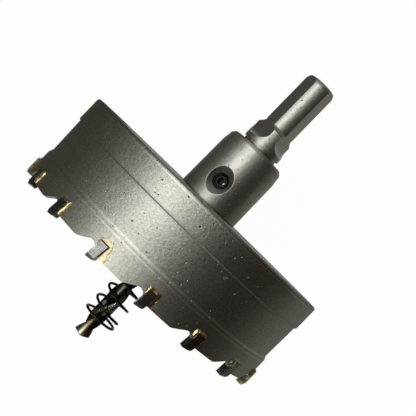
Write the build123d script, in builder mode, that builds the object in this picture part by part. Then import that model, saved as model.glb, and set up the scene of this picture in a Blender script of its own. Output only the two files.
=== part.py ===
from build123d import *

import os
from math import cos, pi, radians, sin, tan

# A carbide-tipped hole saw lying on its side, in millimetres.
# The saw's axis runs along X, with the shank towards +X and the teeth towards -X.
# The origin is the middle of the bounding box's bottom face.
# Stations along the axis are counted from the rear face of the cup's plate, positive towards the shank.
# Azimuths are counted round the axis from straight up, in degrees, positive towards -Y.

# The saw's nominal size is its cutting diameter; the insets below are radial, counted in from it.
cutting_diameter = 105.0

# Cup: a turned plate and wall with a raised rear band and, past a conical ramp, a raised front band
rear_band_inset = 0.65
rear_band_length = 9.3
rear_edge_chamfer = 0.6
body_rear_inset = 1.25
body_front_inset = 1.6
front_band_inset = 0.95
front_band_start = 24.7
rear_ramp_length = 0.5
front_ramp_length = 1.4
bore_inset = 2.6
cup_length = 33.3
plate_thickness = 8.0
plate_corner_chamfer = 2.0

# Teeth: carbide tips brazed in pockets in the rim, each with a gullet in front of it
tooth_count = 16
first_tooth_azimuth = 360 / tooth_count / 2
tip_inner_overhang = 0.2
tip_thickness = 2.95
tip_height = 6.5
tip_projection = 2.05
rake_angle = 6.6
relief_angle = 9.0
tip_trailing_radius = 1.0
tip_bevel_height = 1.3
tip_bevel_depth = 0.55
braze_gap = 0.16
pocket_overrun = 2.0
gullet_length = 8.5
gullet_slope_angle = 30.0
gullet_radius = 2.25
gullet_overrun = 0.6

# Arbor: spigot, hub, neck and chuck shank turned and milled from one bar
spigot_diameter = 18.0
hub_base_diameter = 24.3
hub_taper = 0.2
hub_taper_start = 19.8
hub_shoulder_start = 23.8
hub_shoulder_inset = 0.7
hub_length = 25.0
hub_end_inset = 1.7
shoulder_rise = 0.4
neck_groove_depth = 0.65
neck_groove_length = 1.2
neck_diameter = 15.3
neck_end = 33.7
neck_step_radius = 2.6
neck_undercut = 0.12
neck_undercut_length = 0.4
shank_diameter = 12.0
shank_end = 57.0
shank_end_round = 1.9
shank_end_inset = 0.75
shank_end_radius = 3.2
flat_depth = 0.85
flat_start = 31.7
flat_runout_radius = 4.0
flat_count = 3
land_azimuth = 8.5

# Drill clamp: a countersunk tapped hole through the hub wall with a hex-socket grub screw
screw_station = 8.6
screw_azimuth = -8.3
screw_diameter = 5.0
screw_length = 6.0
screw_clearance = 0.02
screw_chamfer = 0.5
socket_across_flats = 2.5
socket_depth = 2.4
countersink_diameter = 10.7
countersink_angle = 90.0

# Pilot drill: two right-hand flutes, a ground point and a flat for the screw; its section keeps to chords
drill_diameter = 6.35
drill_reach = 64.2
drill_seat = 16.0
drill_seat_angle = 118.0
bore_clearance = 0.03
flute_radius = 2.2
flute_helix_angle = 27.0
flute_start = 14.0
flute_runout = 5.0
web_thickness = 1.5
drill_sides = 16
flute_sides = 12
flute_steps_per_turn = 48
point_angle = 135.0
lip_azimuth = 50.0
drill_end_chamfer = 0.5
drill_flat_depth = 0.55
drill_flat_length = 8.0
drill_flat_start = 4.6

# Ejector spring: a left-handed conical coil whose small end grips the drill; its wire keeps to chords
spring_wire = 0.95
spring_grip_gap = 0.02
spring_seat_gap = 0.02
spring_growth = 2.45
spring_end_station = 54.5
spring_pitch = 5.6
spring_end_azimuth = 184.0
spring_lean = 0.8
spring_closed_turns = 0.84
wire_sides = 8
wire_steps_per_turn = 20

# The saw rests on its rear band and on the rear corners of its two lowest teeth.
cutting_radius = cutting_diameter / 2
rear_radius = cutting_radius - rear_band_inset
tooth_pitch = 360 / tooth_count
tip_lean = tip_height * tan(radians(rake_angle))
tooth_reach = (
    cutting_radius * cos(radians(first_tooth_azimuth))
    + (tip_thickness / 2 + tip_lean) * sin(radians(first_tooth_azimuth))
)
axis_height = max(rear_radius, tooth_reach)
plate_x = (drill_reach - shank_end) / 2

saw_origin = (plate_x, 0, axis_height)
saw_axis = Axis(saw_origin, (1, 0, 0))


def outward(azimuth):
    """The direction away from the saw's axis at an azimuth."""
    return Vector(0, -sin(radians(azimuth)), cos(radians(azimuth)))


def radial_plane(azimuth, radius=0.0):
    """A plane facing outwards at an azimuth: local x runs round the saw and local y towards the shank."""
    return Plane(origin=saw_origin, x_dir=outward(azimuth + 90), z_dir=outward(azimuth)).offset(radius)


def axial_plane(azimuth):
    """A half section at an azimuth: local x is the station and local y the radius."""
    return Plane(origin=saw_origin, x_dir=(1, 0, 0), z_dir=outward(azimuth + 90))


def cross_plane(station, azimuth=0.0):
    """A cross section facing the shank, with its local x at an azimuth, so polar angles are azimuths."""
    return Plane(origin=saw_origin, x_dir=outward(azimuth), z_dir=(1, 0, 0)).offset(station)


def tooth_azimuth(index):
    return first_tooth_azimuth + index * tooth_pitch


side = axial_plane(0)


# Cup blank: the turned form and its gullets, before the pockets are milled
front_radius = cutting_radius - front_band_inset
wall_radius = cutting_radius - bore_inset
spigot_radius = spigot_diameter / 2
tip_end = -cup_length - tip_projection
gullet_side = -tip_thickness / 2 + gullet_overrun
gullet_peak = -cup_length + (gullet_length + gullet_side) * tan(radians(gullet_slope_angle))
with BuildPart() as cup_blank:
    with BuildSketch(side):
        with BuildLine():
            Polyline(
                (0, spigot_radius),
                (0, rear_radius - rear_edge_chamfer),
                (-rear_edge_chamfer, rear_radius),
                (-rear_band_length, rear_radius),
                (-rear_band_length - rear_ramp_length, cutting_radius - body_rear_inset),
                (-front_band_start + front_ramp_length, cutting_radius - body_front_inset),
                (-front_band_start, front_radius),
                (-cup_length, front_radius),
                (-cup_length, wall_radius),
                (-plate_thickness - plate_corner_chamfer, wall_radius),
                (-plate_thickness, wall_radius - plate_corner_chamfer),
                (-plate_thickness, spigot_radius),
                close=True,
            )
        make_face()
    revolve(axis=saw_axis)
    # Gullets: each slopes up from the land and is rounded down onto the face of its tip.
    for index in range(tooth_count):
        with BuildSketch(radial_plane(tooth_azimuth(index), wall_radius - pocket_overrun)):
            with BuildLine():
                FilletPolyline(
                    (-gullet_length - gullet_radius, -cup_length),
                    (-gullet_length, -cup_length),
                    (gullet_side, gullet_peak),
                    (gullet_side, tip_end),
                    radius=gullet_radius,
                )
                Polyline(
                    (gullet_side, tip_end),
                    (-gullet_length - gullet_radius, tip_end),
                    (-gullet_length - gullet_radius, -cup_length),
                )
            make_face()
        extrude(amount=front_radius - wall_radius + 2 * pocket_overrun, mode=Mode.SUBTRACT)


def tip_corners(gap=0.0):
    """Side outline of one carbide tip, or of the pocket a gap wider on its three seated sides."""
    half = tip_thickness / 2
    rise = tip_thickness * tan(radians(relief_angle))
    return [
        (-half - gap, tip_end),
        (half + gap + rise * tan(radians(rake_angle)), tip_end + rise),
        (half + gap + tip_lean, tip_end + tip_height + gap),
        (-half - gap + tip_lean, tip_end + tip_height + gap),
    ]


# Finished cup: the blank with its pockets
pocket_floor = wall_radius - pocket_overrun
pocket_reach = front_radius - wall_radius + 2 * pocket_overrun
with BuildPart() as saw_cup:
    add(cup_blank.part)
    for index in range(tooth_count):
        with BuildSketch(radial_plane(tooth_azimuth(index), pocket_floor)):
            with BuildLine():
                Polyline(*tip_corners(braze_gap), close=True)
            make_face()
        extrude(amount=pocket_reach, mode=Mode.SUBTRACT)

# Carbide tips: proud of the wall outside and inside, bevelled at the outer end, seated on the braze
tip_inner_radius = wall_radius - tip_inner_overhang
tips = []
for index in range(tooth_count):
    with BuildPart() as tip:
        with BuildSketch(radial_plane(tooth_azimuth(index), tip_inner_radius)):
            with BuildLine():
                Polyline(*tip_corners(), close=True)
            make_face()
            fillet(vertices().group_by(Axis.Y)[1], tip_trailing_radius)
        extrude(amount=cutting_radius - tip_inner_radius)
        with BuildSketch(axial_plane(tooth_azimuth(index))):
            with BuildLine():
                Polyline(
                    (tip_end, cutting_radius - tip_bevel_depth),
                    (tip_end + tip_bevel_height, cutting_radius),
                    (tip_end + tip_bevel_height, cutting_radius + tip_bevel_height),
                    (tip_end - tip_bevel_height, cutting_radius + tip_bevel_height),
                    (tip_end - tip_bevel_height, cutting_radius - tip_bevel_depth),
                    close=True,
                )
            make_face()
        extrude(amount=2 * tip_thickness, both=True, mode=Mode.SUBTRACT)
    tips.append(tip)

# Braze joints: the filler left between each tip and the three sides of its pocket
braze_joints = []
for index in range(tooth_count):
    with BuildPart() as joint:
        add(cup_blank.part)
        with BuildSketch(radial_plane(tooth_azimuth(index), pocket_floor)):
            with BuildLine():
                Polyline(*tip_corners(braze_gap), close=True)
            make_face()
        extrude(amount=pocket_reach, mode=Mode.INTERSECT)
        add(tips[index].part, mode=Mode.SUBTRACT)
    braze_joints.append(joint)

# Arbor: turned profile, drill bore, tapped cross hole with its countersink, and three milled flats
hub_radius = hub_base_diameter / 2
hub_top_radius = hub_radius - hub_taper
neck_radius = neck_diameter / 2
groove_radius = neck_radius - neck_groove_depth
groove_start = hub_length + shoulder_rise
shank_radius = shank_diameter / 2
shank_start = neck_end + neck_radius - shank_radius
flat_distance = shank_radius - flat_depth
bore_radius = drill_diameter / 2 + bore_clearance
screw_radius = screw_diameter / 2
with BuildPart() as arbor:
    with BuildSketch(side):
        with BuildLine():
            Polyline(
                (-plate_thickness, 0),
                (-plate_thickness, spigot_radius),
                (0, spigot_radius),
                (0, hub_radius),
                (hub_taper_start, hub_top_radius),
                (hub_shoulder_start, hub_radius - hub_shoulder_inset),
                (hub_length, hub_radius - hub_end_inset),
                (groove_start, groove_radius),
                (groove_start + neck_groove_length, groove_radius),
                (groove_start + neck_groove_length, neck_radius),
                (neck_end, neck_radius),
            )
            RadiusArc((neck_end, neck_radius), (shank_start, shank_radius - neck_undercut), -neck_step_radius)
            Polyline(
                (shank_start, shank_radius - neck_undercut),
                (shank_start + neck_undercut_length, shank_radius - neck_undercut),
                (shank_start + neck_undercut_length, shank_radius),
                (shank_end - shank_end_round, shank_radius),
            )
            RadiusArc(
                (shank_end - shank_end_round, shank_radius),
                (shank_end, shank_radius - shank_end_inset),
                shank_end_radius,
            )
            Polyline((shank_end, shank_radius - shank_end_inset), (shank_end, 0), (-plate_thickness, 0))
        make_face()
    revolve(axis=saw_axis)
    for index in range(flat_count):
        flat_azimuth = land_azimuth + (index + 0.5) * 360 / flat_count
        with BuildSketch(axial_plane(flat_azimuth)):
            with BuildLine():
                CenterArc((flat_start, flat_distance + flat_runout_radius), flat_runout_radius, 180, 90)
                Polyline(
                    (flat_start, flat_distance),
                    (shank_end + flat_runout_radius, flat_distance),
                    (shank_end + flat_runout_radius, flat_distance + flat_runout_radius),
                    (flat_start - flat_runout_radius, flat_distance + flat_runout_radius),
                )
            make_face()
        extrude(amount=neck_diameter, both=True, mode=Mode.SUBTRACT)
    bore_end = drill_seat + bore_clearance
    with BuildSketch(side):
        with BuildLine():
            Polyline(
                (-plate_thickness - bore_radius, 0),
                (-plate_thickness - bore_radius, bore_radius),
                (bore_end, bore_radius),
                (bore_end + bore_radius / tan(radians(drill_seat_angle / 2)), 0),
                close=True,
            )
        make_face()
    revolve(axis=saw_axis, mode=Mode.SUBTRACT)
    crest_radius = hub_radius - hub_taper * screw_station / hub_taper_start
    with Locations(radial_plane(screw_azimuth, crest_radius)):
        with Locations((0, screw_station)):
            CounterSinkHole(
                radius=screw_radius + screw_clearance,
                counter_sink_radius=countersink_diameter / 2,
                depth=crest_radius,
                counter_sink_angle=countersink_angle,
            )

# Grub screw: hex socket at its outer end, flat point on the drill's flat
screw_foot_radius = drill_diameter / 2 - drill_flat_depth
with BuildPart() as grub_screw:
    with BuildSketch(radial_plane(screw_azimuth, screw_foot_radius)):
        with Locations((0, screw_station)):
            Circle(screw_radius)
    extrude(amount=screw_length)
    chamfer(edges().filter_by(GeomType.CIRCLE), screw_chamfer)
    with BuildSketch(radial_plane(screw_azimuth, screw_foot_radius + screw_length)):
        with Locations((0, screw_station)):
            RegularPolygon(socket_across_flats / 2, 6, major_radius=False)
    extrude(amount=-socket_depth, mode=Mode.SUBTRACT)

# Pilot drill: a two-flute section turned step by step along its lead, joined to a plain shank
drill_radius = drill_diameter / 2
flute_lead = pi * drill_diameter / tan(radians(flute_helix_angle))
flute_offset = web_thickness / 2 + flute_radius
flute_length = drill_reach - flute_start
flute_turns = flute_length / flute_lead
flute_steps = round(flute_turns * flute_steps_per_turn)
with BuildPart() as pilot_drill:
    for step in range(flute_steps + 1):
        share = step / flute_steps
        section_azimuth = lip_azimuth + 360 * flute_turns * share
        with BuildSketch(cross_plane(-drill_reach + flute_length * share, section_azimuth)):
            RegularPolygon(drill_radius, drill_sides)
            with PolarLocations(flute_offset, 2):
                RegularPolygon(flute_radius, flute_sides, mode=Mode.SUBTRACT)
    loft(ruled=True)
    with BuildSketch(side):
        with BuildLine():
            Polyline(
                (drill_seat, 0),
                (drill_seat, drill_radius - drill_end_chamfer),
                (drill_seat - drill_end_chamfer, drill_radius),
                (-flute_start, drill_radius),
                (-flute_start - flute_runout, web_thickness / 2),
                (-flute_start - flute_runout, 0),
                close=True,
            )
        make_face()
    revolve(axis=saw_axis)
    # The ground point: everything outside its cone is cut away.
    with BuildSketch(side):
        with BuildLine():
            Polyline(
                (-drill_reach, 0),
                (-drill_reach + drill_diameter / tan(radians(point_angle / 2)), drill_diameter),
                (-drill_reach - drill_radius, drill_diameter),
                (-drill_reach - drill_radius, 0),
                close=True,
            )
        make_face()
    revolve(axis=saw_axis, mode=Mode.SUBTRACT)
    with BuildSketch(radial_plane(screw_azimuth, drill_radius - drill_flat_depth)):
        with Locations((0, drill_flat_start + drill_flat_length / 2)):
            Rectangle(drill_diameter, drill_flat_length)
    extrude(amount=drill_radius, mode=Mode.SUBTRACT)

# Ejector spring: its line is worked out turn by turn from the closed free end to the grip on the drill
grip_radius = drill_radius + spring_wire / 2 + spring_grip_gap
spring_seat = plate_thickness + spring_wire / 2 + spring_seat_gap
rise_turns = (spring_end_station - spring_seat) / spring_pitch
spring_turns = rise_turns + 2 * spring_closed_turns
spring_steps = round(spring_turns * wire_steps_per_turn)


def spring_point(turn):
    """A point on the wire's centre line, a number of turns from its free end."""
    climbing = min(max(turn - spring_closed_turns, 0), rise_turns)
    share = climbing / rise_turns
    station = -spring_end_station + climbing * spring_pitch
    radius = grip_radius + spring_growth * (1 - share)
    azimuth = radians(spring_end_azimuth - 360 * turn)
    shift = spring_lean * (1 - share)
    return cross_plane(station).from_local_coords((radius * cos(azimuth), radius * sin(azimuth) + shift))


with BuildPart() as ejector_spring:
    for step in range(spring_steps + 1):
        turn = spring_turns * step / spring_steps
        centre = spring_point(turn)
        ahead = spring_point(turn + 1 / wire_steps_per_turn)
        behind = spring_point(turn - 1 / wire_steps_per_turn)
        across = Vector(0, centre.Y, centre.Z - axis_height)
        with BuildSketch(Plane(origin=centre, x_dir=across, z_dir=ahead - behind)):
            RegularPolygon(spring_wire / 2, wire_sides)
    loft(ruled=True)

os.makedirs("parts", exist_ok=True)
saw_cup.part.label = "saw_cup"
arbor.part.label = "arbor"
grub_screw.part.label = "grub_screw"
pilot_drill.part.label = "pilot_drill"
ejector_spring.part.label = "ejector_spring"
export_step(saw_cup.part, "parts/saw_cup.step")
export_step(arbor.part, "parts/arbor.step")
export_step(grub_screw.part, "parts/grub_screw.step")
export_step(pilot_drill.part, "parts/pilot_drill.step")
export_step(ejector_spring.part, "parts/ejector_spring.step")
for index, tip in enumerate(tips, start=1):
    tip.part.label = f"carbide_tip_{index:02d}"
    export_step(tip.part, f"parts/carbide_tip_{index:02d}.step")
for index, joint in enumerate(braze_joints, start=1):
    joint.part.label = f"braze_joint_{index:02d}"
    export_step(joint.part, f"parts/braze_joint_{index:02d}.step")
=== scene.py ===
import math
import random

import bmesh
import bpy
from mathutils import Matrix, Vector


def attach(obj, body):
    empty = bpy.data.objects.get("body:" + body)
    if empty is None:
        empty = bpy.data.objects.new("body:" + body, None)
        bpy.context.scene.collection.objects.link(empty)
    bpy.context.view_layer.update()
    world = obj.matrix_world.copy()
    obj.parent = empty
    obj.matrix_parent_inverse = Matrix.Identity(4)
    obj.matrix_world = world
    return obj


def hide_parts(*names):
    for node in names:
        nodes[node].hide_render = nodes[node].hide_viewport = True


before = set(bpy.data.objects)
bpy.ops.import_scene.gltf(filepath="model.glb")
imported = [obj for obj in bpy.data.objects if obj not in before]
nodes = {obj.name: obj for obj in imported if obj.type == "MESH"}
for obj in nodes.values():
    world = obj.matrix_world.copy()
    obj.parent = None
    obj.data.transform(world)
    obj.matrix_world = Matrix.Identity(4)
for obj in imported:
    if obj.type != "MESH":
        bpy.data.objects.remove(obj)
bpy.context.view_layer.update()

random.seed(11)

# The saw's axis runs along X at this height, and stations are counted from the plate's rear face.
MM = 0.001
AXIS_HEIGHT = 51.94 * MM
PLATE_X = 3.6 * MM
CAMERA_AZIMUTH = 4.25


def outward(azimuth):
    """The direction away from the saw's axis: straight up at 0 degrees and towards -Y at 90."""
    angle = math.radians(azimuth)
    return Vector((0, -math.sin(angle), math.cos(angle)))


def at(station, radius, azimuth):
    """A point of the row frame from millimetres along and away from the axis."""
    return Vector((PLATE_X + station * MM, 0, AXIS_HEIGHT)) + outward(azimuth) * radius * MM


# Camera: above the saw, looking down across its axis, turned so that the shank points up and right
CAMERA_DISTANCE = 306.6
CAMERA_STATION = 3.06
CAMERA_YAW = 0.225
CAMERA_PITCH = -0.767
CAMERA_ROLL = 45.748
FOCAL_PIXELS = 881.26
FRAME_PIXELS = 416
SENSOR = 36.0


def add_camera():
    across = outward(CAMERA_AZIMUTH + 90)
    away = -outward(CAMERA_AZIMUTH)
    yaw, pitch = math.radians(CAMERA_YAW), math.radians(CAMERA_PITCH)
    along = Vector((1, 0, 0))
    forward = (across * math.sin(yaw) * math.cos(pitch) + away * math.cos(yaw) * math.cos(pitch)
               + along * math.sin(pitch))
    right = across * math.cos(yaw) - away * math.sin(yaw)
    up = right.cross(forward)
    roll = math.radians(CAMERA_ROLL)
    view_x = right * math.sin(roll) + up * math.cos(roll)
    view_y = up * math.sin(roll) - right * math.cos(roll)
    camera = bpy.data.objects.new("camera", bpy.data.cameras.new("camera"))
    bpy.context.scene.collection.objects.link(camera)
    turn = Matrix((view_x, view_y, -forward)).transposed().to_4x4()
    camera.matrix_world = Matrix.Translation(at(CAMERA_STATION, CAMERA_DISTANCE, CAMERA_AZIMUTH)) @ turn
    camera.data.sensor_fit = "HORIZONTAL"
    camera.data.sensor_width = SENSOR
    camera.data.lens = FOCAL_PIXELS / FRAME_PIXELS * SENSOR
    camera.data.clip_start = 0.01
    camera.data.clip_end = 20
    bpy.context.scene.camera = camera


add_camera()


# Mesh helpers
def add_object(name, mesh):
    piece = bpy.data.objects.new(name, mesh)
    bpy.context.scene.collection.objects.link(piece)
    return piece


def grid_mesh(name, rings, closed_around=True, caps=False):
    """A smooth mesh through rings of points; each ring has as many points as the next."""
    mesh = bpy.data.meshes.new(name)
    count = len(rings[0])
    points = [point for ring in rings for point in ring]
    faces = []
    for row in range(len(rings) - 1):
        for column in range(count if closed_around else count - 1):
            following = (column + 1) % count
            low, high = row * count, (row + 1) * count
            faces.append((low + column, low + following, high + following, high + column))
    if caps:
        faces.append(tuple(reversed(range(count))))
        faces.append(tuple((len(rings) - 1) * count + column for column in range(count)))
    mesh.from_pydata([tuple(point) for point in points], [], faces)
    mesh.update()
    tidy = bmesh.new()
    tidy.from_mesh(mesh)
    bmesh.ops.recalc_face_normals(tidy, faces=tidy.faces)
    tidy.to_mesh(mesh)
    tidy.free()
    mesh.shade_smooth()
    return add_object(name, mesh)


# Material helpers
def new_material(name, colour, roughness, metallic=1.0):
    material = bpy.data.materials.new(name)
    material.use_nodes = True
    tree = material.node_tree
    shader = tree.nodes["Principled BSDF"]
    shader.inputs["Base Color"].default_value = (*colour, 1)
    shader.inputs["Roughness"].default_value = roughness
    shader.inputs["Metallic"].default_value = metallic
    return material, tree, shader


def paint(piece, *materials):
    piece.data.materials.clear()
    for material in materials:
        piece.data.materials.append(material)


def repaint(node, material):
    """Gives every material slot of a CAD node one material."""
    for index in range(len(node.data.materials)):
        node.data.materials[index] = material


def object_place(tree):
    return tree.nodes.new("ShaderNodeTexCoord").outputs["Object"]


def coordinates(tree, place):
    """The X and the Y of a place."""
    axes = tree.nodes.new("ShaderNodeSeparateXYZ")
    tree.links.new(place, axes.inputs["Vector"])
    return axes.outputs["X"], axes.outputs["Y"]


def noise(tree, place, scale, detail=3.0, roughness=0.5, squeeze=None):
    """Noise over the object; squeeze gives it a scale of its own along each axis."""
    texture = tree.nodes.new("ShaderNodeTexNoise")
    texture.inputs["Scale"].default_value = scale
    texture.inputs["Detail"].default_value = detail
    texture.inputs["Roughness"].default_value = roughness
    if squeeze:
        mapping = tree.nodes.new("ShaderNodeMapping")
        mapping.inputs["Scale"].default_value = squeeze
        tree.links.new(place, mapping.inputs["Vector"])
        place = mapping.outputs["Vector"]
    tree.links.new(place, texture.inputs["Vector"])
    return texture.outputs["Fac"]


def math_node(tree, operation, first, second=0.0, third=0.0):
    node = tree.nodes.new("ShaderNodeMath")
    node.operation = operation
    for socket, value in zip(node.inputs, (first, second, third)):
        if isinstance(value, (int, float)):
            socket.default_value = value
        else:
            tree.links.new(value, socket)
    return node.outputs["Value"]


def vector_node(tree, operation, first, second=None, output="Vector"):
    node = tree.nodes.new("ShaderNodeVectorMath")
    node.operation = operation
    for socket, value in zip(node.inputs, (first, second)):
        if value is None:
            continue
        if isinstance(value, (tuple, Vector)):
            socket.default_value = value
        else:
            tree.links.new(value, socket)
    return node.outputs[output]


def ramp(tree, factor, stops):
    """A colour ramp from (position, colour) stops; a colour may be one grey number."""
    node = tree.nodes.new("ShaderNodeValToRGB")
    elements = node.color_ramp.elements
    while len(elements) < len(stops):
        elements.new(0.5)
    for element, (position, colour) in zip(elements, stops):
        element.position = position
        rgb = (colour,) * 3 if isinstance(colour, (int, float)) else colour
        element.color = (*rgb, 1)
    tree.links.new(factor, node.inputs["Fac"])
    return node.outputs["Color"]


def blend_colour(tree, kind, factor, first, second):
    """Mixes, multiplies or lightens two colours; each may be a socket or a plain colour."""
    node = tree.nodes.new("ShaderNodeMix")
    node.data_type = "RGBA"
    node.blend_type = kind
    factor_socket, first_socket, second_socket = (node.inputs[index] for index in (0, 6, 7))
    pairs = (factor_socket, factor), (first_socket, first), (second_socket, second)
    for socket, value in pairs:
        if isinstance(value, (int, float)):
            socket.default_value = value
        elif isinstance(value, tuple):
            socket.default_value = (*value, 1)
        else:
            tree.links.new(value, socket)
    return node.outputs[2]


def bump(tree, height, strength, distance, normal=None):
    """The normal bent by a height; distance is the height's full rise in millimetres."""
    node = tree.nodes.new("ShaderNodeBump")
    node.inputs["Strength"].default_value = strength
    node.inputs["Distance"].default_value = distance * MM
    tree.links.new(height, node.inputs["Height"])
    if normal is not None:
        tree.links.new(normal, node.inputs["Normal"])
    return node.outputs["Normal"]


def length(tree, vector):
    return vector_node(tree, "LENGTH", vector, output="Value")


def dot(tree, first, second):
    return vector_node(tree, "DOT_PRODUCT", first, second, "Value")


def axis_parts(tree, place):
    """Where a point lies about the saw's axis: its direction away from the axis, and the way round."""
    offset = vector_node(tree, "SUBTRACT", place, (0, 0, AXIS_HEIGHT))
    radial = vector_node(tree, "NORMALIZE", vector_node(tree, "MULTIPLY", offset, (0, 1, 1)))
    return radial, vector_node(tree, "CROSS_PRODUCT", radial, (1, 0, 0))


def scaled_vector(tree, vector, factor):
    node = tree.nodes.new("ShaderNodeVectorMath")
    node.operation = "SCALE"
    tree.links.new(vector, node.inputs[0])
    tree.links.new(factor, node.inputs["Scale"])
    return node.outputs["Vector"]


def leaned(tree, normal, direction, share):
    """A normal turned by a share towards a direction."""
    turn = scaled_vector(tree, vector_node(tree, "SUBTRACT", direction, normal), share)
    return vector_node(tree, "NORMALIZE", vector_node(tree, "ADD", normal, turn))


def turned_normal(tree, place, soft):
    """The surface's normal, without the slight sideways slant that a flat facet of a turned form has.

    soft is a share, over the surface, by which worn corners turn away from the saw's axis.
    """
    normal = tree.nodes.new("ShaderNodeNewGeometry").outputs["Normal"]
    radial, around = axis_parts(tree, place)
    sideways = dot(tree, normal, around)
    near = math_node(tree, "LESS_THAN", math_node(tree, "ABSOLUTE", sideways), CHORD_SLANT)
    skewed = scaled_vector(tree, around, math_node(tree, "MULTIPLY", sideways, near))
    normal = vector_node(tree, "NORMALIZE", vector_node(tree, "SUBTRACT", normal, skewed))
    return leaned(tree, normal, radial, soft)


def near_ring(tree, along, station, half_width, power):
    """1 on a ring round the saw at a station, falling to 0 a half width away."""
    away = math_node(tree, "ABSOLUTE", math_node(tree, "SUBTRACT", along, PLATE_X + station * MM))
    share = math_node(tree, "SUBTRACT", 1.0, math_node(tree, "DIVIDE", away, half_width * MM))
    return math_node(tree, "POWER", math_node(tree, "MAXIMUM", share, 0.0), power)


def spots(tree, place, scale, keep, size):
    """Scattered round spots, one at most in each cell: 1 at a spot's middle and 0 outside it."""
    cells = tree.nodes.new("ShaderNodeTexVoronoi")
    cells.inputs["Scale"].default_value = scale
    tree.links.new(place, cells.inputs["Vector"])
    channels = tree.nodes.new("ShaderNodeSeparateColor")
    tree.links.new(cells.outputs["Color"], channels.inputs["Color"])
    kept = math_node(tree, "GREATER_THAN", channels.outputs["Red"], 1 - keep)
    reach = math_node(tree, "MULTIPLY_ADD", channels.outputs["Green"], size * 0.6, size * 0.4)
    away = math_node(tree, "DIVIDE", cells.outputs["Distance"], reach)
    inside = math_node(tree, "SUBTRACT", 1.0, away)
    return math_node(tree, "MULTIPLY", math_node(tree, "MAXIMUM", inside, 0.0), kept)


def capped(tree, value, gain, most):
    return math_node(tree, "MINIMUM", math_node(tree, "MULTIPLY", value, gain), most)


def ragged_spot(tree, place, middle, squeeze, radius, wobble, scale, detail):
    """1 within a radius of a point and 0 outside; the edge wanders by a wobble, both in millimetres."""
    offset = vector_node(tree, "SUBTRACT", place, middle)
    away = length(tree, vector_node(tree, "MULTIPLY", offset, squeeze))
    wavy = noise(tree, place, scale, detail)
    wavy = math_node(tree, "MULTIPLY_ADD", wavy, wobble * MM, -wobble / 2 * MM)
    return math_node(tree, "LESS_THAN", math_node(tree, "ADD", away, wavy), radius * MM)


# A facet of a turned form leans sideways by less than this sine.
CHORD_SLANT = 0.07
PIT_TONE = (0.09, 0.08, 0.065)
SPECK_TONE = (0.9, 0.89, 0.84)
# The rings' edges wander by this many millimetres, and this share of a painted ring is left where the rings
# fade out on the saw's dark side.
RING_WOBBLE = 0.3
LEAST_KEPT = 0.15


def satin_steel(name, dark, light, roughness, grain, bands, soft, marks, worn=None, lean=None):
    """Satin turned steel with a mottled grain, turning marks, small pits and bright specks.

    bands are (station, half width, tone, strength) rings of painted light: painted highlights on
    edges that catch the lamp, and painted shade in corners and grooves.
    soft are (station, half width, share) rings where a corner is worn round.
    marks adds this piece's own marks to the colour. worn is the pair of Y in millimetres between
    which the painted rings fade out towards +Y, where the steel mirrors the dark cards; the rounding
    of soft corners fades with them. lean gives a share and a direction that the surface leans towards.
    """
    material, tree, shader = new_material(name, light, roughness)
    place = object_place(tree)
    colour = ramp(tree, noise(tree, place, 55, 6), [(0.3, dark), (0.7, light)])
    fine = noise(tree, place, 1250, 3, 0.7, (1.5, 1, 1))
    mottle = ramp(tree, fine, [(0.36, 1 - 0.29 * grain), (0.6, 1.0)])
    colour = blend_colour(tree, "MULTIPLY", 1.0, colour, mottle)
    pits = spots(tree, place, scale=560, keep=0.4, size=0.22)
    specks = spots(tree, place, scale=620, keep=0.16, size=0.16)
    colour = blend_colour(tree, "MIX", capped(tree, pits, 1.4, 0.6), colour, PIT_TONE)
    colour = blend_colour(tree, "MIX", capped(tree, specks, 1.4, 0.45), colour, SPECK_TONE)
    exact_along, sideways = coordinates(tree, place)
    ragged = noise(tree, place, 160, 4)
    ragged = math_node(tree, "MULTIPLY_ADD", ragged, RING_WOBBLE * MM, -RING_WOBBLE / 2 * MM)
    along = math_node(tree, "ADD", exact_along, ragged)
    kept = 1.0
    # The painted rings fade out across Y, towards the side that mirrors the dark cards.
    if worn:
        start, end = worn
        kept = math_node(tree, "SUBTRACT", end * MM, sideways)
        kept = math_node(tree, "DIVIDE", kept, (end - start) * MM)
        kept = math_node(tree, "MINIMUM", math_node(tree, "MAXIMUM", kept, LEAST_KEPT), 1.0)
    # Painted highlight and painted shade rings, faded towards the saw's dark side.
    for station, half_width, tone, strength in bands:
        ring = near_ring(tree, along, station, half_width, 0.6)
        share = math_node(tree, "MULTIPLY", math_node(tree, "MULTIPLY", ring, strength), kept)
        colour = blend_colour(tree, "MIX", share, colour, tone)
    tree.links.new(marks(tree, place, colour), shader.inputs["Base Color"])
    softness = 0.0
    for station, half_width, share in soft:
        ring = near_ring(tree, exact_along, station, half_width, 0.25)
        softness = math_node(tree, "MAXIMUM", softness, math_node(tree, "MULTIPLY", ring, share))
    normal = turned_normal(tree, place, math_node(tree, "MULTIPLY", softness, kept))
    if lean:
        share, direction = lean(tree, place)
        normal = leaned(tree, normal, direction, share)
    normal = bump(tree, noise(tree, place, 1, 3, 0.5, (2600, 30, 30)), 0.3 * grain, 0.03, normal)
    normal = bump(tree, noise(tree, place, 520, 3, 0.6), 0.45 * grain, 0.15, normal)
    normal = bump(tree, fine, 0.5 * grain, 0.13, normal)
    raised = math_node(tree, "SUBTRACT", specks, pits)
    normal = bump(tree, raised, 1.0, 0.17, normal)
    tree.links.new(normal, shader.inputs["Normal"])
    return material


# Painted light on turned rings: painted highlight where an edge catches the lamp, painted shade in corners
# and grooves.
EDGE_HIGHLIGHT_TONE = (0.80, 0.79, 0.73)
CORNER_SHADE_TONE = (0.20, 0.19, 0.16)
GROOVE_SHADE_TONE = (0.30, 0.29, 0.26)
NICK = (-11.7, 51.1, 26.0)
NICK_TONE = (0.92, 0.91, 0.87)
# Painted rings fade out across these Y in millimetres, on the saw's dark side.
PAINTED_RINGS_FADE = (19, 33)

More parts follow.
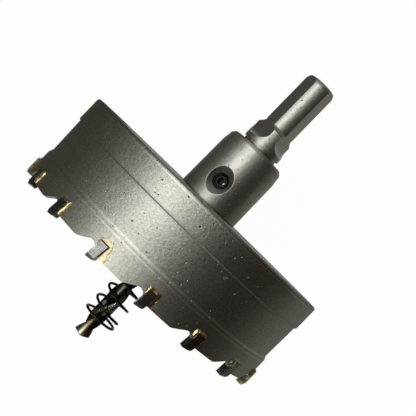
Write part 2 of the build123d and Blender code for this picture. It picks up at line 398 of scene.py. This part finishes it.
# The grub screw's hole in the hub: its countersink lies about this axis.
SCREW_STATION = 8.6
SCREW_AZIMUTH = -8.3
SINK_RADIUS = 5.35
SINK_LOWEST = 5
SINK_WIDEST = 6.2
# Within this radius of the screw's axis the hole is painted near black as shade.
SINK_SHADE_RADIUS = 2.95
SINK_RING_PITCH = 0.42
RIM_WIDTH = 0.2
RIM_TONE = (0.40, 0.40, 0.36)
HUB_RADIUS = 12.06
HUB_SKIN = 0.25


def cup_marks(tree, place, colour):
    """A bright nick in the wall."""
    nick = ragged_spot(tree, place, at(*NICK), (0.75, 1, 1), 0.55, 0.9, 1600, 2)
    return blend_colour(tree, "MIX", math_node(tree, "MULTIPLY", nick, 0.85), colour, NICK_TONE)


def sink_parts(tree, place):
    """A place about the screw's axis: distance across, way along X, share of the cone, share of its rim."""
    axis = outward(SCREW_AZIMUTH)
    offset = vector_node(tree, "SUBTRACT", place, at(SCREW_STATION, 0, 0))
    height = dot(tree, offset, axis)
    across = length(tree, vector_node(tree, "CROSS_PRODUCT", offset, axis))
    from_axis = length(tree, vector_node(tree, "MULTIPLY", offset, (0, 1, 1)))
    depth = math_node(tree, "SUBTRACT", HUB_RADIUS * MM, from_axis)
    # How far a point lies outside the cone: 0 on the cone, and more on the hub with distance from it.
    outside = math_node(tree, "SUBTRACT", across, height)
    outside = math_node(tree, "SUBTRACT", outside, (SINK_RADIUS - HUB_RADIUS) * MM)
    high = math_node(tree, "GREATER_THAN", height, SINK_LOWEST * MM)
    side = math_node(tree, "MULTIPLY", high, math_node(tree, "LESS_THAN", across, SINK_WIDEST * MM))
    cone = math_node(tree, "MULTIPLY", math_node(tree, "GREATER_THAN", depth, HUB_SKIN * MM), side)
    off_cone = math_node(tree, "MAXIMUM", outside, 0.0)
    from_rim = math_node(tree, "ADD", off_cone, math_node(tree, "MAXIMUM", depth, 0.0))
    rim = math_node(tree, "MULTIPLY", math_node(tree, "LESS_THAN", from_rim, RIM_WIDTH * MM), side)
    return across, dot(tree, offset, (1, 0, 0)), cone, rim


def arbor_marks(tree, place, colour):
    """The countersink: a cone with fine turning rings inside a rubbed rim; painted shade darkens the cone by
    half towards +X and paints the hole below it near black.
    """
    across, along, cone, rim = sink_parts(tree, place)
    phase = math_node(tree, "MULTIPLY", across, 2 * math.pi / (SINK_RING_PITCH * MM))
    rings = math_node(tree, "MULTIPLY_ADD", math_node(tree, "SINE", phase), 0.5, 0.5)
    tone = ramp(tree, rings, [(0.0, (0.42, 0.42, 0.39)), (1.0, (0.62, 0.62, 0.585))])
    # Painted shade: the cone darkens by half towards +X.
    side = math_node(tree, "MULTIPLY_ADD", along, 1 / (10 * MM), 0.5)
    tone = blend_colour(tree, "MULTIPLY", 1.0, tone, ramp(tree, side, [(0.12, 1.0), (0.62, 0.5)]))
    # Painted shade: the hole below the cone is near black.
    bottom = math_node(tree, "LESS_THAN", across, SINK_SHADE_RADIUS * MM)
    tone = blend_colour(tree, "MIX", bottom, tone, (0.04, 0.04, 0.038))
    colour = blend_colour(tree, "MIX", cone, colour, tone)
    return blend_colour(tree, "MIX", math_node(tree, "MULTIPLY", rim, 0.8), colour, RIM_TONE)


def rim_lean(tree, place):
    """The countersink's rubbed rim is round, so it shines from every side."""
    rim = sink_parts(tree, place)[3]
    return math_node(tree, "MULTIPLY", rim, 0.6), outward(SCREW_AZIMUTH)


# The cup's painted highlights lie on its rear edge and on the ramps by the teeth; its painted shade lies in
# the rear corner and in the groove.
cup_steel = satin_steel(
    "cup_steel", (0.38, 0.38, 0.325), (0.47, 0.47, 0.41), 0.40, 1.0,
    bands=((-1.3, 0.35, EDGE_HIGHLIGHT_TONE, 0.35), (-0.75, 0.4, CORNER_SHADE_TONE, 0.5), (-8.6, 0.4, EDGE_HIGHLIGHT_TONE, 0.08),
           (-9.35, 1.15, GROOVE_SHADE_TONE, 0.62), (-23.4, 0.5, EDGE_HIGHLIGHT_TONE, 0.55),
           (-24.75, 0.35, EDGE_HIGHLIGHT_TONE, 0.42)),
    soft=((-9.55, 0.45, 0.5), (-24.0, 0.75, 0.6), (-0.3, 0.4, 0.2)),
    marks=cup_marks, worn=PAINTED_RINGS_FADE)
# The arbor's painted shade lies where the hub meets the plate and in the neck's groove.
arbor_steel = satin_steel(
    "arbor_steel", (0.49, 0.48, 0.425), (0.59, 0.58, 0.52), 0.43, 0.8,
    bands=((0.2, 0.35, CORNER_SHADE_TONE, 0.85), (25.5, 0.5, CORNER_SHADE_TONE, 0.8)),
    soft=((23.4, 1.7, 0.55),),
    marks=arbor_marks, lean=rim_lean)


def ground_carbide():
    """Ground cemented carbide: dark grey with fine grinding lines and a few lighter grains."""
    material, tree, shader = new_material("carbide", (0.25, 0.25, 0.235), 0.2)
    place = object_place(tree)
    lines = noise(tree, place, 1, 2, 0.5, (700, 2600, 2600))
    colour = ramp(tree, lines, [(0.35, (0.20, 0.20, 0.185)), (0.65, (0.34, 0.34, 0.325))])
    grains = ramp(tree, noise(tree, place, 2600, 2), [(0.35, 0.8), (0.65, 1.0)])
    tree.links.new(blend_colour(tree, "MULTIPLY", 1.0, colour, grains), shader.inputs["Base Color"])
    tree.links.new(bump(tree, lines, 0.25, 0.02), shader.inputs["Normal"])
    return material


def flowed_braze(name, dark, light, roughness, metallic=1.0):
    """Flowed braze: lumpy and shining, from straw to brown where the flux burnt on."""
    material, tree, shader = new_material(name, light, roughness, metallic)
    place = object_place(tree)
    clouds = noise(tree, place, 620, 4, 0.55)
    tree.links.new(ramp(tree, clouds, [(0.34, dark), (0.56, light)]), shader.inputs["Base Color"])
    tree.links.new(bump(tree, noise(tree, place, 1300, 3), 0.5, 0.15), shader.inputs["Normal"])
    return material


def black_steel(name, colour, roughness, scuff, scuffed):
    """Black oxide on steel, thin and rubbed lighter in places."""
    material, tree, shader = new_material(name, colour, roughness)
    place = object_place(tree)
    rubbed = ramp(tree, noise(tree, place, 420, 5, 0.6), [(1 - scuff, colour), (1.0, scuffed)])
    tree.links.new(rubbed, shader.inputs["Base Color"])
    tree.links.new(bump(tree, noise(tree, place, 2200, 3), 0.2, 0.03), shader.inputs["Normal"])
    return material


def socket_steel_painted_glint():
    """Black oxide in the grub screw's socket, with one painted highlight: a light spot on the socket's
    floor, where the lamp would glint.
    """
    black = (0.012, 0.012, 0.011)
    material, tree, shader = new_material("screw_black", black, 0.34)
    place = object_place(tree)
    # Painted highlight: a light grey spot on the socket's floor where the lamp would glint.
    middle = at(8.28, 6.3, SCREW_AZIMUTH) + outward(90 + SCREW_AZIMUTH) * 0.88 * MM
    share = ragged_spot(tree, place, middle, (0.5, 1, 1), 0.45, 0.4, 900, 3)
    clouds = ramp(tree, noise(tree, place, 420, 5, 0.6), [(0.7, black), (1.0, (0.05, 0.05, 0.045))])
    colour = blend_colour(tree, "MIX", share, clouds, (0.32, 0.32, 0.30))
    tree.links.new(colour, shader.inputs["Base Color"])
    tree.links.new(bump(tree, noise(tree, place, 2200, 3), 0.2, 0.03), shader.inputs["Normal"])
    return material


def shaded_filmed_carbide():
    """Carbide with painted shade, near black, and a real thin braze film in straw patches, for the tips at
    the saw's two flanks.
    """
    material, tree, shader = new_material("carbide_shaded_filmed", (0.09, 0.08, 0.05), 0.35)
    place = object_place(tree)
    clouds = noise(tree, place, 480, 3, 0.6)
    # Painted shade: near black carbide, with straw patches of real braze film.
    film = ramp(tree, clouds, [(0.42, (0.05, 0.045, 0.032)), (0.66, (0.34, 0.28, 0.13))])
    tree.links.new(film, shader.inputs["Base Color"])
    tree.links.new(bump(tree, noise(tree, place, 1100, 3), 0.3, 0.08), shader.inputs["Normal"])
    return material


carbide = ground_carbide()
carbide_shaded_filmed = shaded_filmed_carbide()
braze = flowed_braze("braze", (0.46, 0.36, 0.14), (0.66, 0.57, 0.29), 0.30)
braze_cream = flowed_braze("braze_cream", (0.46, 0.40, 0.20), (0.60, 0.55, 0.34), 0.42)
braze_brown = flowed_braze("braze_brown", (0.14, 0.08, 0.02), (0.5, 0.36, 0.12), 0.30)
flux_line = flowed_braze("flux_line", (0.06, 0.03, 0.012), (0.19, 0.105, 0.045), 0.45, 0.0)
screw_black = socket_steel_painted_glint()
# Painted shade: the tapped thread is near black, so the gap round the grub screw reads dark.
thread_painted_shade = black_steel("thread_painted_shade", (0.03, 0.03, 0.028), 0.35, 0.3, (0.12, 0.12, 0.11))
wire_black = black_steel("wire_black", (0.022, 0.022, 0.021), 0.30, 0.25, (0.10, 0.10, 0.09))

# These two flank tips get the carbide with painted shade and a braze film.
SHADED_FILMED_TIPS = ("carbide_tip_04", "carbide_tip_13")

repaint(nodes["saw_cup"], cup_steel)
repaint(nodes["arbor"], arbor_steel)
repaint(nodes["grub_screw"], screw_black)
for name, node in nodes.items():
    if name.startswith("carbide_tip"):
        repaint(node, carbide_shaded_filmed if name in SHADED_FILMED_TIPS else carbide)
    if name.startswith("braze_joint"):
        repaint(node, flux_line)


# The tapped hole's last thread, which shows above the grub screw, painted near black as shade
THREAD_RADIUS = 2.52
THREAD_BOTTOM = 8.8
THREAD_TOP = 9.5
THREAD_TURNS = 0.95
THREAD_DEPTH = 0.34
SINK_FOOT = 9.25


def add_thread():
    """One turn of a ridge on the hole's wall, which dies out at both ends and follows the countersink."""
    axis, along = outward(SCREW_AZIMUTH), Vector((1, 0, 0))
    sideways = axis.cross(along)
    steps = 60
    rings = []
    for step in range(steps + 1):
        share = step / steps
        turn = 2 * math.pi * THREAD_TURNS * share
        outwards = along * math.cos(turn) + sideways * math.sin(turn)
        height = THREAD_BOTTOM + (THREAD_TOP - THREAD_BOTTOM) * share
        crest = THREAD_DEPTH * min(1.0, 6 * share, 3 * (1 - share)) + 0.01
        wall = THREAD_RADIUS + max(0.0, height - SINK_FOOT)
        foot, tip = wall + 0.08, wall - crest
        ring = []
        for radius, rise in ((foot, -0.3), (tip, -0.06), (tip, 0.06), (foot, 0.3)):
            ring.append(at(SCREW_STATION, 0, 0) + (outwards * radius + axis * (height + rise)) * MM)
        rings.append(ring)
    piece = grid_mesh("tapped_thread", rings, caps=True)
    paint(piece, thread_painted_shade)
    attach(piece, "root")


add_thread()


# Ejector spring: the CAD coil's line again, as a smooth round wire
WIRE = 0.95
DRILL_RADIUS = 3.175
GRIP_RADIUS = DRILL_RADIUS + WIRE / 2 + 0.02
SPRING_GROWTH = 2.45
SPRING_END = 54.5
SPRING_PITCH = 5.6
SPRING_END_AZIMUTH = 184.0
SPRING_LEAN = 0.8
CLOSED_TURNS = 0.84
SPRING_SEAT = 8 + WIRE / 2 + 0.02
RISE_TURNS = (SPRING_END - SPRING_SEAT) / SPRING_PITCH
STEPS_PER_TURN = 44
WIRE_SIDES = 14


def spring_point(turn):
    """A point of the wire's middle line, a number of turns from the small end."""
    climbing = min(max(turn - CLOSED_TURNS, 0), RISE_TURNS)
    share = climbing / RISE_TURNS
    radius = GRIP_RADIUS + SPRING_GROWTH * (1 - share)
    point = at(-SPRING_END + climbing * SPRING_PITCH, radius, SPRING_END_AZIMUTH - 360 * turn)
    return point + outward(90) * SPRING_LEAN * (1 - share) * MM


def add_spring():
    turns = RISE_TURNS + 2 * CLOSED_TURNS
    steps = round(turns * STEPS_PER_TURN)
    rings = []
    for step in range(steps + 1):
        turn = turns * step / steps
        centre = spring_point(turn)
        forward = (spring_point(turn + 0.01) - spring_point(turn - 0.01)).normalized()
        across = (centre - Vector((centre.x, 0, AXIS_HEIGHT))).normalized()
        across = (across - forward * across.dot(forward)).normalized()
        upward = forward.cross(across)
        # The wire's two ends are cut, with the burr's edge just rounded.
        ends = min(step, steps - step)
        radius = WIRE / 2 * MM * (0.82 if ends == 0 else 1.0)
        ring = []
        for side in range(WIRE_SIDES):
            angle = 2 * math.pi * side / WIRE_SIDES
            ring.append(centre + (across * math.cos(angle) + upward * math.sin(angle)) * radius)
        rings.append(ring)
    piece = grid_mesh("spring_wire_coil", rings, caps=True)
    paint(piece, wire_black)
    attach(piece, "root")
    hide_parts("ejector_spring")


add_spring()


# Pilot drill: two smooth flutes, ground margins and a conical point
DRILL_REACH = 64.2
DRILL_SEAT = 16.0
WEB = 1.5
FLUTE_RADIUS = 2.2
FLUTE_START = 14.0
FLUTE_RUNOUT = 5.0
HELIX_ANGLE = 27.0
LIP_AZIMUTH = 50.0
POINT_ANGLE = 135.0
MARGIN_ANGLE = 15.0
CLEARANCE = 0.14
DRILL_SIDES = 120
FLAT_START = 4.6
FLAT_END = 12.6
FLAT_DEPTH = 0.55
STRAW_LENGTH = 9.5
# The margin is ground bright between these degrees from the flute's edge.
GROUND_FROM = 2
GROUND_TO = 11
FLUTE_OFFSET = WEB / 2 + FLUTE_RADIUS
FLUTE_MOUTH = math.degrees(math.acos((DRILL_RADIUS**2 + FLUTE_OFFSET**2 - FLUTE_RADIUS**2)
                                     / (2 * DRILL_RADIUS * FLUTE_OFFSET)))


def from_flute(angle):
    """An angle round the drill, counted from the middle of the nearer flute."""
    return (angle + 90) % 180 - 90


def drill_section(angle, fullness):
    """The drill's radius at an angle from a flute's middle; fullness 1 leaves no flute."""
    angle = from_flute(angle)
    root = math.cos(math.radians(angle)) * FLUTE_OFFSET
    inside = root * root - FLUTE_OFFSET**2 + FLUTE_RADIUS**2
    radius = DRILL_RADIUS
    if FLUTE_MOUTH + MARGIN_ANGLE < angle or angle < -FLUTE_MOUTH:
        radius = DRILL_RADIUS - CLEARANCE * min(1.0, (1 - fullness) * 3)
    if inside > 0 and root > 0:
        valley = root - math.sqrt(inside)
        radius = min(radius, valley + (DRILL_RADIUS - valley) * fullness)
    return radius


def drill_stations():
    """Stations of the drill's rings: point, flutes, run-out, and the flat for the grub screw."""
    point = (0.02, 0.15, 0.3, 0.5, 0.7, 0.9, 1.1, 1.25, 1.32, 1.4)
    first, spacing = 1.6, 0.4
    fluted = int((DRILL_REACH - FLUTE_START - first) / spacing)
    stations = [-DRILL_REACH + offset for offset in point]
    stations += [-DRILL_REACH + first + spacing * step for step in range(fluted)]
    stations += [-FLUTE_START + FLUTE_RUNOUT * step / 10 for step in range(11)]
    stations += [0.0, FLAT_START - 0.01, FLAT_START, FLAT_END, FLAT_END + 0.01]
    return stations + [DRILL_SEAT - 0.5, DRILL_SEAT]


def add_drill():
    lead = math.pi * 2 * DRILL_RADIUS / math.tan(math.radians(HELIX_ANGLE))
    slope = math.tan(math.radians(POINT_ANGLE / 2))
    stations = drill_stations()
    screw_side = outward(SCREW_AZIMUTH)
    rings = []
    for station in stations:
        fullness = min(max((station + FLUTE_START) / FLUTE_RUNOUT, 0.0), 1.0)
        twist = LIP_AZIMUTH + 360 * (station + DRILL_REACH) / lead
        limit = (station + DRILL_REACH) * slope
        if station == DRILL_SEAT:
            limit = DRILL_RADIUS - 0.5
        ring = []
        for side in range(DRILL_SIDES):
            angle = 360 * side / DRILL_SIDES
            radius = min(drill_section(angle, fullness), limit)
            point = at(station, radius, twist + angle)
            if FLAT_START <= station <= FLAT_END:
                rise = (point - at(station, 0, 0)).dot(screw_side) - (DRILL_RADIUS - FLAT_DEPTH) * MM
                if rise > 0:
                    point -= screw_side * rise
            ring.append(point)
        rings.append(ring)
    piece = grid_mesh("twist_drill", rings, caps=True)
    paint(piece, drill_black, drill_margin, drill_straw)
    piece.data.set_sharp_from_angle(angle=math.radians(32))
    # Material 1 is the ground metal of the margins, and 2 the straw-coloured point.
    for face in piece.data.polygons:
        if len(face.vertices) > 4:
            continue
        row, column = divmod(face.index, DRILL_SIDES)
        angle = from_flute(360 * (column + 0.5) / DRILL_SIDES) - FLUTE_MOUTH
        station = stations[row]
        if station < -FLUTE_START and GROUND_FROM < angle < GROUND_TO:
            face.material_index = 1
        if station < -DRILL_REACH + STRAW_LENGTH:
            face.material_index = 2
    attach(piece, "root")
    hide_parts("pilot_drill")


def straw_steel():
    """Ground steel at the drill's point, straw to brown, fading to black oxide up the flutes."""
    material, tree, shader = new_material("drill_straw", (0.62, 0.58, 0.42), 0.2)
    place = object_place(tree)
    along, _ = coordinates(tree, place)
    wobble = 2.4
    reach = math_node(tree, "SUBTRACT", along, PLATE_X - DRILL_REACH * MM)
    reach = math_node(tree, "SUBTRACT", reach, wobble / 2 * MM)
    reach = math_node(tree, "MULTIPLY_ADD", noise(tree, place, 300, 4), wobble * MM, reach)
    share = math_node(tree, "DIVIDE", reach, (STRAW_LENGTH + 1) * MM)
    colour = ramp(tree, share, [(0.0, (0.66, 0.63, 0.49)), (0.22, (0.38, 0.34, 0.21)),
                                (0.5, (0.15, 0.13, 0.07)), (1.0, (0.06, 0.055, 0.04))])
    tree.links.new(colour, shader.inputs["Base Color"])
    lines = noise(tree, place, 1, 2, 0.5, (1200, 3000, 3000))
    tree.links.new(bump(tree, lines, 0.25, 0.03), shader.inputs["Normal"])
    return material


drill_black = black_steel("drill_black", (0.065, 0.062, 0.047), 0.12, 0.3, (0.15, 0.145, 0.11))
drill_margin = black_steel("drill_margin", (0.6, 0.59, 0.52), 0.14, 0.4, (0.85, 0.84, 0.78))
drill_straw = straw_steel()
add_drill()


# Braze spill: a lumpy film on the rim round three sides of each tip, with a burnt line next to the tip
RIM_RADIUS = 51.55
CUP_LENGTH = 33.3
TIP_END = -35.35
TIP_HEIGHT = 6.5
TIP_THICKNESS = 2.95
TIP_LEAN = TIP_HEIGHT * math.tan(math.radians(6.6))
TIP_TOP = TIP_END + TIP_HEIGHT
TOOTH_COUNT = 16
SPILL_START = -30.6
BURNT_WIDTH = 0.38


def tip_side(station, trailing):
    """How far along the rim a tip's side lies from its middle line at a station."""
    half = TIP_THICKNESS / 2
    return (half if trailing else -half) + TIP_LEAN * (station - TIP_END) / TIP_HEIGHT


def spill_path():
    """Points and outward directions up a tip's leading side, over its top and down its trailing side."""
    path = []
    leading, trailing = tip_side(TIP_TOP, False), tip_side(TIP_TOP, True)
    for step in range(9):
        station = SPILL_START + (TIP_TOP - SPILL_START) * step / 8
        path.append(((tip_side(station, False), station), (-1.0, 0.15)))
    for step in range(1, 7):
        turn = math.radians(180 - 90 * step / 7)
        path.append(((leading, TIP_TOP), (math.cos(turn), math.sin(turn))))
    for step in range(9):
        path.append(((leading + TIP_THICKNESS * step / 8, TIP_TOP), (0.0, 1.0)))
    for step in range(1, 7):
        turn = math.radians(90 - 90 * step / 7)
        path.append(((trailing, TIP_TOP), (math.cos(turn), math.sin(turn))))
    for step in range(15):
        station = TIP_TOP + (-CUP_LENGTH + 0.12 - TIP_TOP) * step / 14
        path.append(((tip_side(station, True), station), (1.0, 0.0)))
    return path


def spill_width(share, widths):
    """Width of the film at a share of the path, between evenly spaced widths."""
    place = share * (len(widths) - 1)
    index = min(int(place), len(widths) - 2)
    blend = place - index
    blend = blend * blend * (3 - 2 * blend)
    return widths[index] * (1 - blend) + widths[index + 1] * blend


# Sections of the spill as (share of its width, share of its height), from the tip outwards
BEAD = ((0.0, 0.95), (0.14, 1.0), (0.3, 0.98), (0.48, 0.84), (0.66, 0.6), (0.83, 0.3), (1.0, -0.06))
FILM = ((0.0, 2.6), (0.05, 1.2), (0.13, 0.6), (0.35, 0.95), (0.6, 1.0), (0.84, 0.7), (1.0, -0.25))


def add_spill(number, azimuth, widths, height, brown_from, brown_to):
    """One tip's spill; it is brown between two shares of its path."""
    path = spill_path()
    flat = height < 0.2
    levels = FILM if flat else BEAD
    phase, waves = random.uniform(0, 6.28), random.uniform(2.2, 3.6)
    rings = []
    for index, ((along, station), (out_along, out_station)) in enumerate(path):
        share = index / (len(path) - 1)
        turn = 2 * math.pi * waves * share + phase
        width = spill_width(share, widths) * (1 + 0.1 * math.sin(turn) + 0.05 * math.sin(2.7 * turn))
        tall = height * (1 + 0.16 * math.sin(1.6 * turn + 1))
        ring = []
        for reach, rise in levels:
            # On a flat spill the burnt line beside the tip is as wide as on the real one.
            step = max(reach * width, min(BURNT_WIDTH, reach * 3)) if flat else reach * width
            x = along + out_along * step
            y = max(station + out_station * step, -CUP_LENGTH + 0.04)
            ring.append(at(y, RIM_RADIUS + tall * rise, azimuth + math.degrees(x / RIM_RADIUS)))
        rings.append(ring)
    piece = grid_mesh(f"braze_spill_{number:02d}", rings, closed_around=False)
    paint(piece, braze_cream if flat else braze, braze_brown, flux_line)
    columns = len(levels) - 1
    for face in piece.data.polygons:
        row, column = divmod(face.index, columns)
        if column < (2 if flat else 1):
            face.material_index = 2
        elif brown_from <= row / (len(path) - 1) <= brown_to:
            face.material_index = 1
    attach(piece, "root")


# Widths from the leading side over the top to the land, height, and the brown shares, for the near teeth
SPILLS = {
    12: ((0.5, 0.7, 0.6, 0.6, 0.8, 0.9), 0.35, 0.0, 0.3),
    13: ((0.5, 0.6, 0.7, 0.9, 1.0, 1.2), 0.50, 0.0, 0.35),
    14: ((0.5, 0.6, 0.8, 1.3, 1.2, 1.1), 0.55, 0.0, 0.3),
    15: ((0.5, 0.9, 1.4, 1.45, 1.5, 3.0), 0.10, 2.0, 2.0),
    0: ((0.9, 1.2, 1.2, 0.9, 1.1, 1.2), 0.55, 0.52, 1.0),
    1: ((0.9, 1.1, 0.9, 0.7, 0.8, 0.9), 0.60, 0.6, 1.0),
    2: ((1.0, 1.0, 0.8, 0.6, 0.6, 0.7), 0.60, 0.6, 1.0),
    3: ((0.9, 1.0, 0.8, 0.6, 0.6, 0.6), 0.50, 2.0, 2.0),
}


def add_spills():
    for number in range(TOOTH_COUNT):
        azimuth = 360 / TOOTH_COUNT * (number + 0.5)
        if number in SPILLS:
            widths, height, brown_from, brown_to = SPILLS[number]
        else:
            widths = tuple(random.uniform(0.5, 1.5) for _ in range(6))
            height = random.uniform(0.25, 0.45)
            brown_from, brown_to = random.uniform(0.3, 0.8), 1.0
        add_spill(number + 1, azimuth, widths, height, brown_from, brown_to)


add_spills()


# Stage: a pale floor, two lamps, and cards that only the metal mirrors
def seen_as_white(tree, bottom, strength, mirrored):
    """Mixes white over a shader: in full for camera and transmission rays, a share of it for glossy ones."""
    glow = tree.nodes.new("ShaderNodeEmission")
    glow.inputs["Color"].default_value = (1, 1, 1, 1)
    path = tree.nodes.new("ShaderNodeLightPath")
    seen = math_node(tree, "MAXIMUM", path.outputs["Is Camera Ray"], path.outputs["Is Transmission Ray"])
    glossy = math_node(tree, "MULTIPLY", path.outputs["Is Glossy Ray"], mirrored)
    share = math_node(tree, "MULTIPLY", math_node(tree, "MAXIMUM", seen, glossy), strength)
    mix = tree.nodes.new("ShaderNodeMixShader")
    tree.links.new(share, mix.inputs["Fac"])
    tree.links.new(bottom, mix.inputs[1])
    tree.links.new(glow.outputs["Emission"], mix.inputs[2])
    return mix.outputs["Shader"]


def add_quad(name, corners):
    mesh = bpy.data.meshes.new(name)
    mesh.from_pydata([tuple(corner) for corner in corners], [], [(0, 1, 2, 3)])
    return add_object(name, mesh)


def add_floor():
    half = 3.0
    floor = add_quad("floor", [(-half, -half, 0), (half, -half, 0), (half, half, 0), (-half, half, 0)])
    material, tree, shader = new_material("floor", (0.5, 0.5, 0.5), 0.7, 0.0)
    white = seen_as_white(tree, shader.outputs["BSDF"], 0.975, 0.25)
    tree.links.new(white, tree.nodes["Material Output"].inputs["Surface"])
    paint(floor, material)


def add_card(name, corners, tone):
    """A plain card of one tone beside the saw, which only mirroring surfaces see."""
    card = add_quad(name, corners)
    material, tree, _ = new_material(name, (0, 0, 0), 1.0, 0.0)
    glow = tree.nodes.new("ShaderNodeEmission")
    glow.inputs["Color"].default_value = (*tone, 1)
    tree.links.new(glow.outputs["Emission"], tree.nodes["Material Output"].inputs["Surface"])
    paint(card, material)
    card.visible_camera = False
    card.visible_diffuse = False
    card.visible_shadow = False
    card.visible_transmission = False


def add_standing_card(name, low, high, tone, distance=620, half_length=900):
    """A card that spans two azimuths round the saw's axis."""
    ends = [(-half_length, low), (half_length, low), (half_length, high), (-half_length, high)]
    add_card(name, [at(station, distance, azimuth) for station, azimuth in ends], tone)


def add_floor_card(name, near, far, tone, half_length=900, lift=0.5):
    """A card lying on the floor beside the view, near and far in millimetres along -Y."""
    ends = [(-half_length, near), (half_length, near), (half_length, far), (-half_length, far)]
    add_card(name, [(along * MM, -across * MM, lift * MM) for along, across in ends], tone)


add_floor()
add_standing_card("card_right", 12, 102, (0.028, 0.021, 0.015))
add_standing_card("card_left", -94, -62, (0.06, 0.06, 0.05))
add_floor_card("card_floor_left", -50, -620, (0.06, 0.06, 0.05))
add_floor_card("card_floor_right_near", 50, 190, (0.21, 0.215, 0.20))
add_floor_card("card_floor_right_far", 190, 620, (0.155, 0.16, 0.145))
front = [(-0.7, -0.4, 0.05), (-0.7, 0.4, 0.05), (-0.7, 0.4, 0.45), (-0.7, -0.4, 0.45)]
add_card("card_front", front, (0.9, 0.88, 0.8))

world = bpy.data.worlds.new("world")
bpy.context.scene.world = world
world.use_nodes = True
sky = world.node_tree.nodes["Background"]
sky.inputs["Color"].default_value = (1, 1, 1, 1)
sky.inputs["Strength"].default_value = 0.28


def add_lamp(name, azimuth, distance, station, size_along, size_round, radiance):
    """A soft rectangular lamp that faces the saw's axis; its power follows from its radiance."""
    lamp = bpy.data.lights.new(name, "AREA")
    lamp.shape = "RECTANGLE"
    lamp.size = size_along * MM
    lamp.size_y = size_round * MM
    lamp.energy = radiance * math.pi * lamp.size * lamp.size_y
    holder = bpy.data.objects.new(name, lamp)
    bpy.context.scene.collection.objects.link(holder)
    back = outward(azimuth)
    along = Vector((1, 0, 0))
    turn = Matrix((along, back.cross(along), back)).transposed().to_4x4()
    holder.matrix_world = Matrix.Translation(at(station, distance, azimuth)) @ turn


LAMP_AZIMUTH = -19
add_lamp("softbox", LAMP_AZIMUTH, 700, 0, 1000, 500, 1.45)
add_lamp("tube", LAMP_AZIMUTH, 690, 0, 900, 36, 7.5)

bpy.context.scene.view_settings.view_transform = "Standard"
